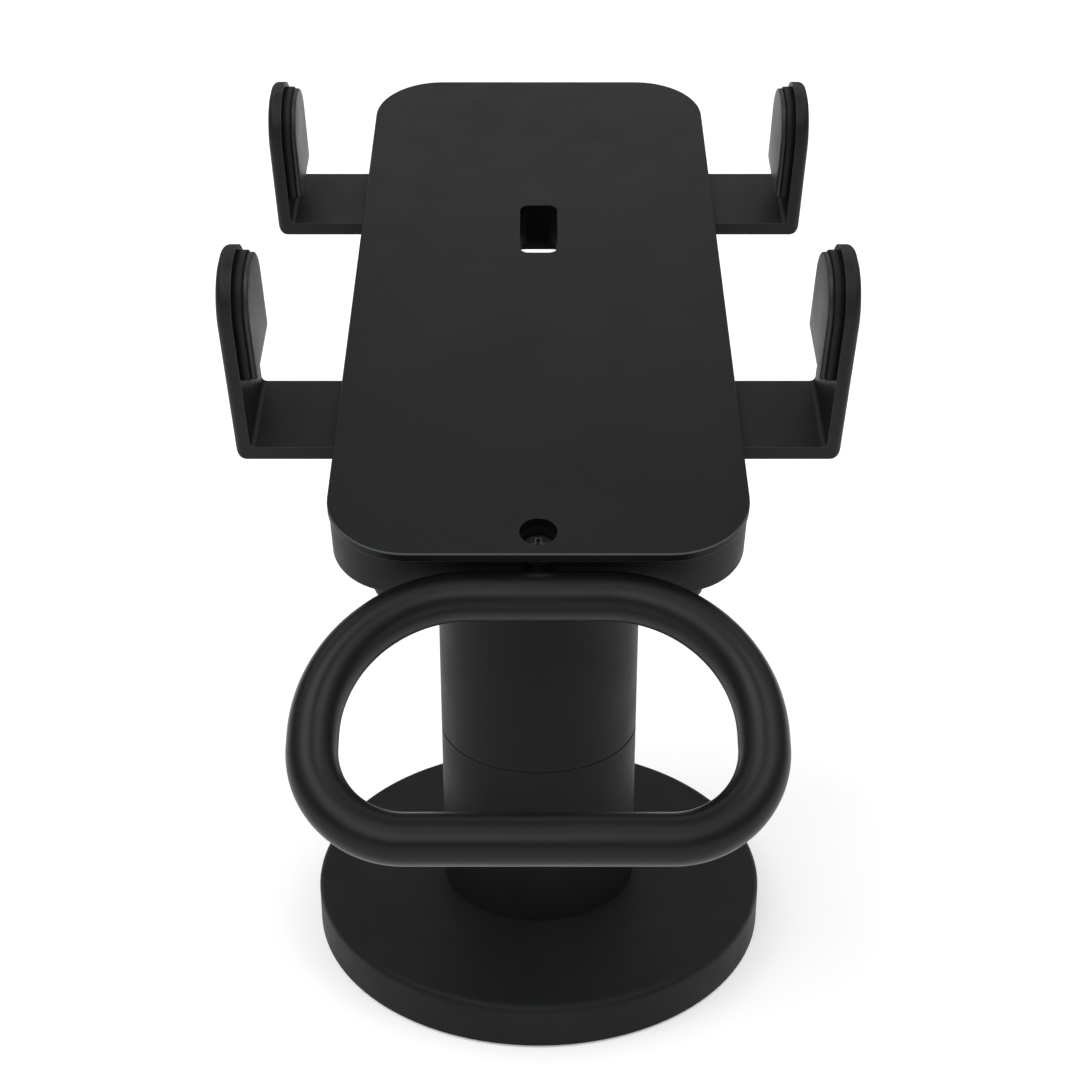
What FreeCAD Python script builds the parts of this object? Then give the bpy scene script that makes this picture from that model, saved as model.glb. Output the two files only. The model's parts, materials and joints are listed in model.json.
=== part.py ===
import FreeCAD, Part
import math
import os

from FreeCAD import Placement, Rotation, Vector

# Swivel and tilt stand for a card payment terminal, in millimetres.
# World frame: origin at the centre of the base's underside, +Z up, -Y towards the user.
# Head frame: u across, v along the holder plate (+v away from the user), h out of its
# top face.  The head frame is tipped about X by HEAD_TILT, near edge low.

# ---- driving dimensions ----
BASE_R = 50.0
BASE_TOP = 10.3
FOOT_H = 1.2
COVER_LIFT = 0.6
COVER_WALL = 2.0
BASE_EDGE_R = 1.6
CABLE_HOLE_R = 12.0

COLUMN_R = 21.35
COLUMN_BORE_R = 17.5
SEAM_Z = 48.4
SEAM_GAP = 0.6
SEAM_DEPTH = 0.15
WASHER_BORE_R = 15.0
COLUMN_TOP = 112.0
WEB_T = 5.0
SPINDLE_R = 8.0
SPINDLE_BORE_R = 5.5
RUNNING_GAP = 0.05
STOP_RADIUS = 12.0
STOP_PIN_R = 1.5
SWIVEL_LIMIT = 165.0

PIVOT_Z = 126.0
TILT_BOLT_R = 3.0
TILT_HEAD_R = 5.2
TILT_HEAD_H = 4.0
TILT_NUT_T = 4.6
LUG_R = 8.0
LUG_HALF_W = 6.5
EAR_IN = 8.0
EAR_OUT = 12.5
EAR_HALF_Y = 9.0

HEAD_TILT = 18.46
HEAD_Y = -10.0
HEAD_Z = 151.94
PLATE_W = 70.0
PLATE_L = 150.0
PLATE_T = 1.74
PLATE_CORNER_R = 13.8
PLATE_TOP_EDGE_R = 0.35
PLATE_UNDER_EDGE_R = 0.25

HOUSING_L = 144.0
HOUSING_WALL = 2.0
HOUSING_CORNER_R = 12.0
HOUSING_EDGE_R = 0.5
RIM_H = -2.4
FLOOR_TOP = -9.2
FLOOR_BOTTOM = -12.0
COVER_HALF_W = 27.6
COVER_HALF_L = 71.4
COVER_CORNER_R = 3.5
COVER_T = 2.2
COVER_BOTTOM = FLOOR_BOTTOM - COVER_T
BOSS_U = 29.0
BOSS_V = 59.0
COVER_SCREW_U = 21.0
COVER_SCREW_V = 57.0
BOSS_ROOT = FLOOR_BOTTOM + 1.0

SLOT_W = 7.4
SLOT_V = (9.1, 25.6)
SLOT_R = 1.8
BUSH_WALL = 0.8
BUSH_LIFT = 0.5
OUTLET_V = (8.0, 30.9)
OUTLET_HALF_W = 4.8
OUTLET_CORNER_R = 2.0

ARM_OUT = 52.5
ARM_W = 18.45
ARM_T = 2.65
ARM_FLOOR_TOP = -2.88
ARM_IN = 19.5
ARM_TIP_R = 8.4
ARM_HEEL_R = 2.0
ARM_INNER_R = 1.0
ARM_EDGE_R = 1.3
FRONT_ARM_V = -36.3
FRONT_ARM_TOP = 30.5
REAR_ARM_V = 32.7
REAR_ARM_TOP = 21.9
PAD_LENGTH = 18.9
PAD_BACKING_T = 1.6
PAD_BACKING_INSET = 0.9
PAD_FACE_T = 1.1
PAD_FACE_INSET = 1.25
PAD_EDGE_R = 0.4

SLIDE_IN = 20.0
SLIDE_OUT = 29.0
SLIDE_TOP = ARM_FLOOR_TOP - ARM_T
SLIDE_BOTTOM = -8.6
RACK_END = 7.0
RACK_BACK = 4.2
PINION_V = -8.0
PINION_POST_R = 2.0
PINION_POST_TOP = -5.2
MODULE = 1.0
TEETH = 12
PRESSURE_ANGLE = math.radians(20.0)
PITCH_R = MODULE * TEETH / 2.0
RACK_ADDENDUM = 0.65
RACK_DEDENDUM = 1.25 * MODULE
BACKLASH = 0.16

RING_Y = -97.0
RING_Z = 108.2
RING_RISE = 36.1
RING_TUBE_R = 4.08
RING_TOP_HALF = 10.9
RING_TOP_R = 24.15
RING_BOTTOM_R = 14.83
RING_HALF_H = 20.54
RING_BOTTOM_HALF = RING_TOP_HALF + RING_TOP_R - RING_BOTTOM_R
HANDLE_HOLE_V = -69.7
HANDLE_HOLE_R = 3.1
STUD_R = 2.8

# M3 screws and the smaller thread-forming ones
SCREW_R = 1.5
SCREW_HEAD_R = 2.8
COUNTERBORE_R = 2.9
FLAT_HEAD_H = 1.5
FORMING_R = 1.25
FORMING_HEAD_R = 2.6
LEVEL_TOLERANCE = 1e-6

X = Vector(1, 0, 0)
Y = Vector(0, 1, 0)
Z = Vector(0, 0, 1)
HEAD = Placement(Vector(0, HEAD_Y, HEAD_Z), Rotation(X, HEAD_TILT))
RING = Placement(Vector(0, RING_Y, RING_Z), Rotation(X, RING_RISE))


# ---- shape helpers ----
def disc(radius, low, high, x=0.0, y=0.0):
    return Part.makeCylinder(radius, high - low, Vector(x, y, low))


def tube(outer, inner, low, high, x=0.0, y=0.0):
    return disc(outer, low, high, x, y).cut(disc(inner, low - 1, high + 1, x, y))


def rod_x(radius, left, right, y, z):
    return Part.makeCylinder(radius, right - left, Vector(left, y, z), X)


def block(low, high):
    size = Vector(*high) - Vector(*low)
    return Part.makeBox(size.x, size.y, size.z, Vector(*low))


def rounded_prism(low, high, radius):
    """A box from corner low to corner high whose upright edges have one radius."""
    box = block(low, high)
    upright = [edge for edge in box.Edges
               if abs(edge.Vertexes[0].X - edge.Vertexes[1].X) < LEVEL_TOLERANCE
               and abs(edge.Vertexes[0].Y - edge.Vertexes[1].Y) < LEVEL_TOLERANCE]
    return box.makeFillet(radius, upright)


def edges_at_level(shape, level):
    """The edges that lie wholly at one height."""
    return [e for e in shape.Edges
            if all(abs(p.Z - level) < LEVEL_TOLERANCE for p in e.Vertexes)]


def circle_at_level(shape, level):
    """The full circles of a disc at one height."""
    return [e for e in edges_at_level(shape, level) if len(e.Vertexes) == 1]


def polygon_prism(points, low, high):
    corners = [Vector(x, y, low) for x, y in points]
    face = Part.Face(Part.makePolygon(corners + corners[:1]))
    return face.extrude(Vector(0, 0, high - low))


def revolved(profile):
    """A full turn about Z of a profile given as (radius, z) points."""
    corners = [Vector(r, 0, z) for r, z in profile]
    face = Part.Face(Part.makePolygon(corners + corners[:1]))
    return face.revolve(Vector(0, 0, 0), Z, 360)


def hexagon(across_flats, low, high, x=0.0, y=0.0):
    corner_r = across_flats / math.sqrt(3.0)
    points = [(x + corner_r * math.cos(math.radians(60 * i)),
               y + corner_r * math.sin(math.radians(60 * i))) for i in range(6)]
    return polygon_prism(points, low, high)


def fused(shapes):
    whole = shapes[0]
    for shape in shapes[1:]:
        whole = whole.fuse(shape)
    return whole.removeSplitter()


def cut_all(shape, tools):
    for tool in tools:
        shape = shape.cut(tool)
    return shape


def grouped(shapes):
    return Part.makeCompound(shapes)


def polar(radius, degrees):
    angle = math.radians(degrees)
    return radius * math.cos(angle), radius * math.sin(angle)


def in_head(shape):
    """Moves a shape drawn in the head frame (u, v, h) to the world frame."""
    placed = shape.copy()
    placed.Placement = HEAD.multiply(placed.Placement)
    return placed


def turned_half(shape, u, v):
    """A copy turned half a turn about the head-frame line through (u, v)."""
    copy = shape.copy()
    copy.rotate(Vector(u, v, 0), Z, 180)
    return copy


def mirrored_u(shape):
    return shape.mirror(Vector(0, 0, 0), X)


def pan_screw(radius, head_r, head_h, tip, seat, x, y):
    """A screw along Z: shank from tip to seat, head beyond the seat, cross recess in it."""
    away = 1.0 if seat > tip else -1.0
    shank = disc(radius, min(tip, seat), max(tip, seat), x, y)
    top = seat + away * head_h
    head = disc(head_r, min(seat, top), max(seat, top), x, y)
    head = head.makeFillet(head_h * 0.35, circle_at_level(head, top))
    depth = head_h * 0.55
    low, high = sorted((top - away * depth, top + away * 0.2))
    arm, web = head_r * 0.62, head_r * 0.14
    recess = fused([block((x - arm, y - web, low), (x + arm, y + web, high)),
                    block((x - web, y - arm, low), (x + web, y + arm, high))])
    return fused([shank, head]).cut(recess)


# ---- base ----
COLUMN_SCREWS = [polar(14.75, angle) for angle in (90, 210, 330)]
COUNTER_HOLES = [polar(35.0, angle) for angle in (30, 150, 270)]
COUNTER_HOLE_R = 2.1
COLUMN_SCREW_SEAT = FOOT_H + 2.2
COLUMN_SCREW_TIP = BASE_TOP + 2.6
COLUMN_FLOOR_T = 3.0
DISC_GAP = 0.3


def base_cover():
    inner = BASE_R - COVER_WALL
    shell = disc(BASE_R, COVER_LIFT, BASE_TOP)
    shell = shell.makeFillet(BASE_EDGE_R, circle_at_level(shell, BASE_TOP))
    holes = [disc(SCREW_R, 0, BASE_TOP + 1, x, y) for x, y in COLUMN_SCREWS]
    return cut_all(shell, [disc(inner, 0, BASE_TOP - COVER_WALL),
                           disc(CABLE_HOLE_R, 0, BASE_TOP + 1)] + holes)


def base_weight():
    plate = tube(BASE_R - COVER_WALL - DISC_GAP, CABLE_HOLE_R, FOOT_H, BASE_TOP - COVER_WALL)
    tools = []
    for x, y in COLUMN_SCREWS:
        tools.append(disc(SCREW_R, 0, BASE_TOP, x, y))
        tools.append(disc(COUNTERBORE_R, 0, COLUMN_SCREW_SEAT, x, y))
    for x, y in COUNTER_HOLES:
        tools.append(disc(COUNTER_HOLE_R, 0, BASE_TOP, x, y))
    return cut_all(plate, tools)


def foot_pad():
    pad = tube(BASE_R - COVER_WALL - DISC_GAP, CABLE_HOLE_R, 0, FOOT_H)
    return cut_all(pad, [disc(COUNTER_HOLE_R + 1.2, -1, FOOT_H + 1, x, y)
                         for x, y in COUNTER_HOLES])


def column_screws():
    return grouped([pan_screw(SCREW_R, SCREW_HEAD_R, 2.0, COLUMN_SCREW_TIP,
                              COLUMN_SCREW_SEAT, x, y) for x, y in COLUMN_SCREWS])


def lower_column():
    body = tube(COLUMN_R, COLUMN_BORE_R, BASE_TOP, SEAM_Z)
    foot = tube(COLUMN_BORE_R + 0.5, CABLE_HOLE_R, BASE_TOP, BASE_TOP + COLUMN_FLOOR_T)
    web = tube(COLUMN_BORE_R + 0.5, SPINDLE_R + RUNNING_GAP, SEAM_Z - WEB_T, SEAM_Z)
    holes = [disc(SCREW_R, 0, BASE_TOP + 4, x, y) for x, y in COLUMN_SCREWS]
    return cut_all(fused([body, foot, web]), holes + [stop_groove()])


GROOVE_SIDE_GAP = 0.25
GROOVE_DEPTH = 2.6
GROOVE_END_GAP = 1.5
PIN_DEPTH = 2.2


def stop_groove():
    """The arc in which the stop pin travels; its ends stop the swivel."""
    half_w = STOP_PIN_R + GROOVE_SIDE_GAP
    low, high = SEAM_Z - GROOVE_DEPTH, SEAM_Z + 1.0
    reach = SWIVEL_LIMIT + GROOVE_END_GAP
    section = block((STOP_RADIUS - half_w, 0, low), (STOP_RADIUS + half_w, 0.001, high))
    face = [f for f in section.Faces if abs(f.normalAt(0, 0).y + 1) < LEVEL_TOLERANCE][0]
    arc = face.revolve(Vector(0, 0, 0), Z, 2 * reach)
    arc.rotate(Vector(0, 0, 0), Z, 90 - reach)
    ends = [disc(half_w, low, high, *polar(STOP_RADIUS, 90 + side * reach)) for side in (-1, 1)]
    return fused([arc] + ends)


def swivel_washer():
    return tube(COLUMN_R - SEAM_DEPTH, WASHER_BORE_R, SEAM_Z, SEAM_Z + SEAM_GAP)


# ---- swivel ----
UPPER_Z = SEAM_Z + SEAM_GAP
YOKE_SCREW_Z = COLUMN_TOP - 4.0
YOKE_SCREW_ANGLES = (90, 210, 330)
YOKE_LOW = COLUMN_TOP - 8.0
YOKE_HEAD_R = 2.5
YOKE_HEAD_SEAT = COLUMN_R - 1.4
YOKE_HEAD_TOP = COLUMN_R - 0.2
SPINDLE_LOW = 36.0
COLLAR_R = 10.2
COLLAR_T = 2.0


def radial_rod(radius, inner, outer, degrees, z):
    x, y = polar(1.0, degrees)
    return Part.makeCylinder(radius, outer - inner, Vector(x * inner, y * inner, z),
                             Vector(x, y, 0))


def upper_column():
    body = tube(COLUMN_R, COLUMN_BORE_R, UPPER_Z, COLUMN_TOP)
    web = tube(COLUMN_BORE_R + 0.5, SPINDLE_R, UPPER_Z, UPPER_Z + WEB_T)
    pin_x, pin_y = polar(STOP_RADIUS, 90)
    tools = [disc(STOP_PIN_R, UPPER_Z - 1, UPPER_Z + WEB_T + 1, pin_x, pin_y)]
    for angle in YOKE_SCREW_ANGLES:
        tools.append(radial_rod(SCREW_R, 10, COLUMN_R + 2, angle, YOKE_SCREW_Z))
        tools.append(radial_rod(YOKE_HEAD_R + 0.1, YOKE_HEAD_SEAT, COLUMN_R + 2, angle,
                                YOKE_SCREW_Z))
    return cut_all(fused([body, web]), tools)


def spindle():
    web_top = UPPER_Z + WEB_T
    stem = tube(SPINDLE_R, SPINDLE_BORE_R, SPINDLE_LOW, web_top)
    collar = tube(COLLAR_R, SPINDLE_BORE_R, web_top, web_top + COLLAR_T)
    return fused([stem, collar])


NUT_T = 4.8
NUT_FLATS = 22.0
WEB_UNDER = SEAM_Z - WEB_T
FRICTION_R = 14.0
FRICTION_BOTTOM = WEB_UNDER - 0.85
SPRING_R = 13.0
SPRING_BOTTOM = WEB_UNDER - 2.15
SPRING_T = 0.7
SPRING_CONE = 0.55


def friction_washer():
    return tube(FRICTION_R, SPINDLE_R + RUNNING_GAP, FRICTION_BOTTOM, WEB_UNDER - RUNNING_GAP)


def disc_spring():
    low, thick, cone = SPRING_BOTTOM, SPRING_T, SPRING_CONE
    inner, outer = SPINDLE_R + RUNNING_GAP, SPRING_R
    return revolved([(inner, low), (outer, low + cone), (outer, low + cone + thick),
                     (inner, low + thick)])


def spindle_nut():
    top = SPRING_BOTTOM - RUNNING_GAP
    return hexagon(NUT_FLATS, top - NUT_T, top).cut(disc(SPINDLE_R, 0, 100))


def stop_pin():
    x, y = polar(STOP_RADIUS, 90)
    return disc(STOP_PIN_R, SEAM_Z - PIN_DEPTH, UPPER_Z + WEB_T, x, y)


WAY_HALF_W = 5.0
WAY_Y = (9.6, 15.6)
WAY_CORNER_R = 2.5


def tilt_yoke():
    plug = disc(COLUMN_BORE_R, YOKE_LOW, COLUMN_TOP)
    ears = []
    for side in (-1, 1):
        low_x, high_x = sorted((side * EAR_IN, side * EAR_OUT))
        web = block((low_x, -EAR_HALF_Y, COLUMN_TOP - 1), (high_x, EAR_HALF_Y, PIVOT_Z))
        ears.append(fused([web, rod_x(EAR_HALF_Y, low_x, high_x, 0, PIVOT_Z)]))
    cable_way = rounded_prism((-WAY_HALF_W, WAY_Y[0], YOKE_LOW - 1),
                              (WAY_HALF_W, WAY_Y[1], COLUMN_TOP + 1), WAY_CORNER_R)
    threads = [radial_rod(SCREW_R, 11, COLUMN_R, angle, YOKE_SCREW_Z)
               for angle in YOKE_SCREW_ANGLES]
    bolt_hole = rod_x(TILT_BOLT_R, -20, 20, 0, PIVOT_Z)
    return cut_all(fused([plug] + ears), [cable_way, bolt_hole] + threads)


def yoke_screws():
    """Three radial screws; the one beside the cable way is shorter."""
    screws = []
    for angle in YOKE_SCREW_ANGLES:
        inner = WAY_Y[1] + 0.1 if angle == 90 else 11.5
        shank = radial_rod(SCREW_R, inner, YOKE_HEAD_SEAT, angle, YOKE_SCREW_Z)
        head = radial_rod(YOKE_HEAD_R, YOKE_HEAD_SEAT, YOKE_HEAD_TOP, angle, YOKE_SCREW_Z)
        socket = radial_rod(1.1, COLUMN_R - 1.0, COLUMN_R, angle, YOKE_SCREW_Z)
        screws.append(fused([shank, head]).cut(socket))
    return grouped(screws)


def tilt_bolt():
    shank = rod_x(TILT_BOLT_R, -EAR_OUT - TILT_NUT_T - 0.8, EAR_OUT, 0, PIVOT_Z)
    head = rod_x(TILT_HEAD_R, EAR_OUT, EAR_OUT + TILT_HEAD_H, 0, PIVOT_Z)
    socket = hexagon(4.0, 0, 2.6)
    socket.rotate(Vector(0, 0, 0), Y, 90)
    socket.translate(Vector(EAR_OUT + 1.6, 0, PIVOT_Z))
    return fused([shank, head]).cut(socket)


def tilt_nut():
    nut = hexagon(10.0, 0, TILT_NUT_T).cut(disc(TILT_BOLT_R, -1, TILT_NUT_T + 1))
    nut.rotate(Vector(0, 0, 0), Y, 90)
    nut.translate(Vector(-EAR_OUT - TILT_NUT_T, 0, PIVOT_Z))
    return nut


def tilt_washers():
    rings = []
    for side in (-1, 1):
        low, high = sorted((side * (LUG_HALF_W + RUNNING_GAP), side * EAR_IN))
        ring = rod_x(LUG_R - 0.4, low, high, 0, PIVOT_Z)
        rings.append(ring.cut(rod_x(TILT_BOLT_R, -20, 20, 0, PIVOT_Z)))
    return grouped(rings)


# ---- head ----
def pivot_in_head():
    local = HEAD.inverse().multVec(Vector(0, 0, PIVOT_Z))
    return local.y, local.z


PIVOT_V, PIVOT_H = pivot_in_head()
FLANGE_T = 3.0
FLANGE_V = (-26.0, 6.8)
FLANGE_HALF_W = 20.0
FLANGE_BOTTOM = COVER_BOTTOM - FLANGE_T
LUG_SCREWS = [(u, v) for u in (-15.0, 15.0) for v in (-21.5, 2.2)]


def tilt_lug():
    flange = rounded_prism((-FLANGE_HALF_W, FLANGE_V[0], FLANGE_BOTTOM),
                           (FLANGE_HALF_W, FLANGE_V[1], COVER_BOTTOM), 4.0)
    neck = block((-LUG_HALF_W, PIVOT_V - LUG_R, PIVOT_H),
                 (LUG_HALF_W, FLANGE_V[1], FLANGE_BOTTOM + 1.0))
    round_end = rod_x(LUG_R, -LUG_HALF_W, LUG_HALF_W, PIVOT_V, PIVOT_H)
    bore = rod_x(TILT_BOLT_R + RUNNING_GAP, -10, 10, PIVOT_V, PIVOT_H)
    holes = [disc(SCREW_R, -30, 0, u, v) for u, v in LUG_SCREWS]
    return cut_all(fused([flange, neck, round_end]), [bore] + holes)


def lug_screws():
    return grouped([countersunk(u, v, FLANGE_BOTTOM, FLOOR_TOP) for u, v in LUG_SCREWS])


def countersunk(u, v, tip, face):
    """A flat-head screw whose head is flush with face, pointing down to tip."""
    head = flat_head(u, v, face)
    shank = disc(SCREW_R, tip, face - FLAT_HEAD_H + 0.1, u, v)
    cross = [block((u - 1.6, v - 0.35, face - 0.8), (u + 1.6, v + 0.35, face + 1)),
             block((u - 0.35, v - 1.6, face - 0.8), (u + 0.35, v + 1.6, face + 1))]
    return cut_all(fused([shank, head]), cross)


def flat_head(u, v, face):
    return Part.makeCone(SCREW_R, SCREW_HEAD_R, FLAT_HEAD_H, Vector(u, v, face - FLAT_HEAD_H))


def countersink(u, v, face):
    """The space of a flat-head screw: its hole, its cone and the way in from above."""
    return fused([disc(SCREW_R, -40, face - FLAT_HEAD_H + 0.1, u, v),
                  flat_head(u, v, face),
                  disc(SCREW_HEAD_R, face, face + 1, u, v)])


PLATE_SCREWS = [(u, v) for u in (-BOSS_U, BOSS_U) for v in (-BOSS_V, BOSS_V)]
COVER_SCREWS = [(u, v) for u in (-COVER_SCREW_U, COVER_SCREW_U)
                for v in (-COVER_SCREW_V, COVER_SCREW_V)]
STANDOFF_R = 2.6
PLATE_BOSS_R = 4.6
COVER_BOSS_R = 3.2
STANDOFF_LOW = -6.7
COVER_BOSS_TOP = -7.0
COVER_SCREW_TIP = -7.9
PLATE_SCREW_SEAT = FLOOR_BOTTOM + 1.7
PLATE_SCREW_TIP = -2.6
WINDOW_GAP = 0.4
HANDLE_BOSS_HALF_W = 6.5
HANDLE_BOSS_END = -60.5


def arm_windows():
    """Slots in the side walls that the four arms slide through."""
    half = ARM_W / 2 + WINDOW_GAP
    low = ARM_FLOOR_TOP - ARM_T - WINDOW_GAP
    return [block((-PLATE_W, v - half, low), (PLATE_W, v + half, 5))
            for v in (FRONT_ARM_V, REAR_ARM_V)]


def housing():
    half_w, half_l = PLATE_W / 2, HOUSING_L / 2
    wall = HOUSING_WALL
    outer = rounded_prism((-half_w, -half_l, FLOOR_BOTTOM), (half_w, half_l, RIM_H),
                          HOUSING_CORNER_R)
    outer = outer.makeFillet(HOUSING_EDGE_R, edges_at_level(outer, FLOOR_BOTTOM))
    inner = rounded_prism((-half_w + wall, -half_l + wall, FLOOR_TOP),
                          (half_w - wall, half_l - wall, 5), HOUSING_CORNER_R - wall)
    shell = cut_all(outer.cut(inner), arm_windows())
    bosses = [disc(PLATE_BOSS_R, BOSS_ROOT, -PLATE_T, u, v) for u, v in PLATE_SCREWS]
    bosses += [disc(COVER_BOSS_R, BOSS_ROOT, COVER_BOSS_TOP, u, v) for u, v in COVER_SCREWS]
    handle_boss = rounded_prism((-HANDLE_BOSS_HALF_W, -half_l, BOSS_ROOT),
                                (HANDLE_BOSS_HALF_W, HANDLE_BOSS_END, -PLATE_T), 1.5)
    tools = [handle_socket(), handle_screw_hole(), outlet(), pinion_post_hole()]
    for u, v in PLATE_SCREWS:
        tools.append(disc(STANDOFF_R, STANDOFF_LOW, 5, u, v))
        tools.append(disc(SCREW_R + 0.2, -20, 0, u, v))
        tools.append(disc(COUNTERBORE_R, -20, PLATE_SCREW_SEAT, u, v))
    tools += [disc(FORMING_R, -20, COVER_SCREW_TIP + 0.1, u, v) for u, v in COVER_SCREWS]
    tools += [countersink(u, v, FLOOR_TOP) for u, v in LUG_SCREWS]
    return cut_all(fused([shell, handle_boss] + bosses), tools)


def outlet():
    """The cable way through the housing floor and the bottom cover."""
    return rounded_prism((-OUTLET_HALF_W, OUTLET_V[0], COVER_BOTTOM - 1),
                         (OUTLET_HALF_W, OUTLET_V[1], FLOOR_TOP + 0.5), OUTLET_CORNER_R)


def pinion_post_hole():
    return disc(PINION_POST_R, COVER_BOTTOM - 1, 0, 0, PINION_V)


POST_HEAD_R = 3.8
RETAINER_R = 3.0
RETAINER_T = 0.6


def bottom_cover():
    sheet = rounded_prism((-COVER_HALF_W, -COVER_HALF_L, COVER_BOTTOM),
                          (COVER_HALF_W, COVER_HALF_L, FLOOR_BOTTOM), COVER_CORNER_R)
    pinion_hole = disc(POST_HEAD_R + 0.4, COVER_BOTTOM - 1, FLOOR_BOTTOM + 1, 0, PINION_V)
    tools = [outlet(), pinion_hole]
    tools += [disc(SCREW_R, -20, 0, u, v) for u, v in COVER_SCREWS + LUG_SCREWS]
    tools += [disc(COUNTERBORE_R + 0.3, -20, 0, u, v) for u, v in PLATE_SCREWS]
    return cut_all(sheet, tools)


def cover_screws():
    return grouped([pan_screw(FORMING_R, FORMING_HEAD_R, 1.5, COVER_SCREW_TIP, COVER_BOTTOM, u, v)
                    for u, v in COVER_SCREWS])


def top_plate():
    half_w, half_l = PLATE_W / 2, PLATE_L / 2
    sheet = rounded_prism((-half_w, -half_l, -PLATE_T), (half_w, half_l, 0), PLATE_CORNER_R)
    for level, radius in ((0, PLATE_TOP_EDGE_R), (-PLATE_T, PLATE_UNDER_EDGE_R)):
        sheet = sheet.makeFillet(radius, edges_at_level(sheet, level))
    slot = rounded_prism((-SLOT_W / 2, SLOT_V[0], -5), (SLOT_W / 2, SLOT_V[1], 5), SLOT_R)
    hole = disc(HANDLE_HOLE_R, -5, 5, 0, HANDLE_HOLE_V)
    return cut_all(sheet, [slot, hole])


def plate_standoffs():
    return grouped([tube(STANDOFF_R, FORMING_R, STANDOFF_LOW, -PLATE_T, u, v)
                    for u, v in PLATE_SCREWS])


def plate_screws():
    return grouped([pan_screw(FORMING_R, FORMING_HEAD_R, 1.4, PLATE_SCREW_TIP,
                              PLATE_SCREW_SEAT, u, v) for u, v in PLATE_SCREWS])


def cable_bush():
    wall = BUSH_WALL
    low, high = FLOOR_TOP + BUSH_LIFT, -PLATE_T
    outer = rounded_prism((-SLOT_W / 2 - wall, SLOT_V[0] - wall, low),
                          (SLOT_W / 2 + wall, SLOT_V[1] + wall, high), SLOT_R + wall)
    inner = rounded_prism((-SLOT_W / 2, SLOT_V[0], low - 1), (SLOT_W / 2, SLOT_V[1], high + 1),
                          SLOT_R)
    return outer.cut(inner)


GLIDE_HALF_L = 32.0
GLIDE_HALF_W = 3.0
GLIDE_CORNER_R = 2.0
REAR_GLIDE_SHIFT = 4.0


def glide_strip(v):
    """A low-friction strip that both slides rest on, across the housing floor."""
    return rounded_prism((-GLIDE_HALF_L, v - GLIDE_HALF_W, FLOOR_TOP),
                         (GLIDE_HALF_L, v + GLIDE_HALF_W, SLIDE_BOTTOM - 0.1), GLIDE_CORNER_R)


def pinion_screw():
    """A shoulder screw from below; the pinion turns on its smooth shoulder."""
    post = disc(PINION_POST_R, COVER_BOTTOM + 0.6, PINION_POST_TOP, 0, PINION_V)
    head = disc(POST_HEAD_R, COVER_BOTTOM, FLOOR_BOTTOM, 0, PINION_V)
    retainer = disc(RETAINER_R, PINION_POST_TOP, PINION_POST_TOP + RETAINER_T, 0, PINION_V)
    socket = hexagon(2.5, COVER_BOTTOM - 1, COVER_BOTTOM + 1.3, 0, PINION_V)
    return fused([post, head, retainer]).cut(socket)


# ---- ring handle ----
def corner_arc(center_x, center_s, radius, start, sweep):
    bend = Part.makeTorus(radius, RING_TUBE_R, Vector(0, 0, 0), Z, -180, 180, sweep)
    bend.rotate(Vector(0, 0, 0), Z, start)
    bend.translate(Vector(center_x, center_s, 0))
    return bend


def straight(start, end):
    a, b = Vector(*start), Vector(*end)
    return Part.makeCylinder(RING_TUBE_R, (b - a).Length, a, b - a)


def ring_handle():
    """An oblong ring of round bar, wider rounded at the top than at the bottom."""
    top_s = RING_HALF_H - RING_TOP_R
    bottom_s = -RING_HALF_H + RING_BOTTOM_R
    side_x = RING_TOP_HALF + RING_TOP_R
    pieces = [straight((-RING_TOP_HALF, RING_HALF_H, 0), (RING_TOP_HALF, RING_HALF_H, 0)),
              straight((-RING_BOTTOM_HALF, -RING_HALF_H, 0), (RING_BOTTOM_HALF, -RING_HALF_H, 0))]
    for side in (-1, 1):
        start = 0 if side > 0 else 90
        pieces.append(corner_arc(side * RING_TOP_HALF, top_s, RING_TOP_R, start, 90))
        start = -90 if side > 0 else 180
        pieces.append(corner_arc(side * RING_BOTTOM_HALF, bottom_s, RING_BOTTOM_R, start, 90))
        pieces.append(straight((side * side_x, bottom_s, 0), (side * side_x, top_s, 0)))
    ring = fused(pieces)
    ring.Placement = HEAD.inverse().multiply(RING)
    return ring.cut(handle_stud_rod())


def top_bar_in_head():
    world = RING.multVec(Vector(0, RING_HALF_H, 0))
    local = HEAD.inverse().multVec(world)
    return local.y, local.z


BAR_V, BAR_H = top_bar_in_head()
STUD_END_V = -62.5


def handle_stud_rod():
    return Part.makeCylinder(STUD_R, STUD_END_V - BAR_V, Vector(0, BAR_V, BAR_H), Y)


def handle_stud():
    """The stud that carries the ring; its rear part sits in the housing's front boss."""
    return handle_stud_rod().cut(handle_screw_shank(SCREW_R))


def handle_socket():
    return Part.makeCylinder(STUD_R, STUD_END_V + 80, Vector(0, -80, BAR_H), Y)


def handle_screw_shank(radius):
    return disc(radius, HANDLE_SCREW_TIP, 0, 0, HANDLE_HOLE_V)


HANDLE_SCREW_SEAT = -4.8
HANDLE_SCREW_TIP = FLOOR_BOTTOM + 1.0


def handle_screw_hole():
    return fused([handle_screw_shank(SCREW_R),
                  disc(HANDLE_HOLE_R, HANDLE_SCREW_SEAT, 5, 0, HANDLE_HOLE_V)])


def handle_screw():
    return pan_screw(SCREW_R, SCREW_HEAD_R, 1.6, HANDLE_SCREW_TIP, HANDLE_SCREW_SEAT,
                     0, HANDLE_HOLE_V)


# ---- clamp jaws ----
ARMS = {"front": (FRONT_ARM_V, FRONT_ARM_TOP), "rear": (REAR_ARM_V, REAR_ARM_TOP)}
SLIDE_SCREW_U = (SLIDE_IN + SLIDE_OUT) / 2


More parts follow.
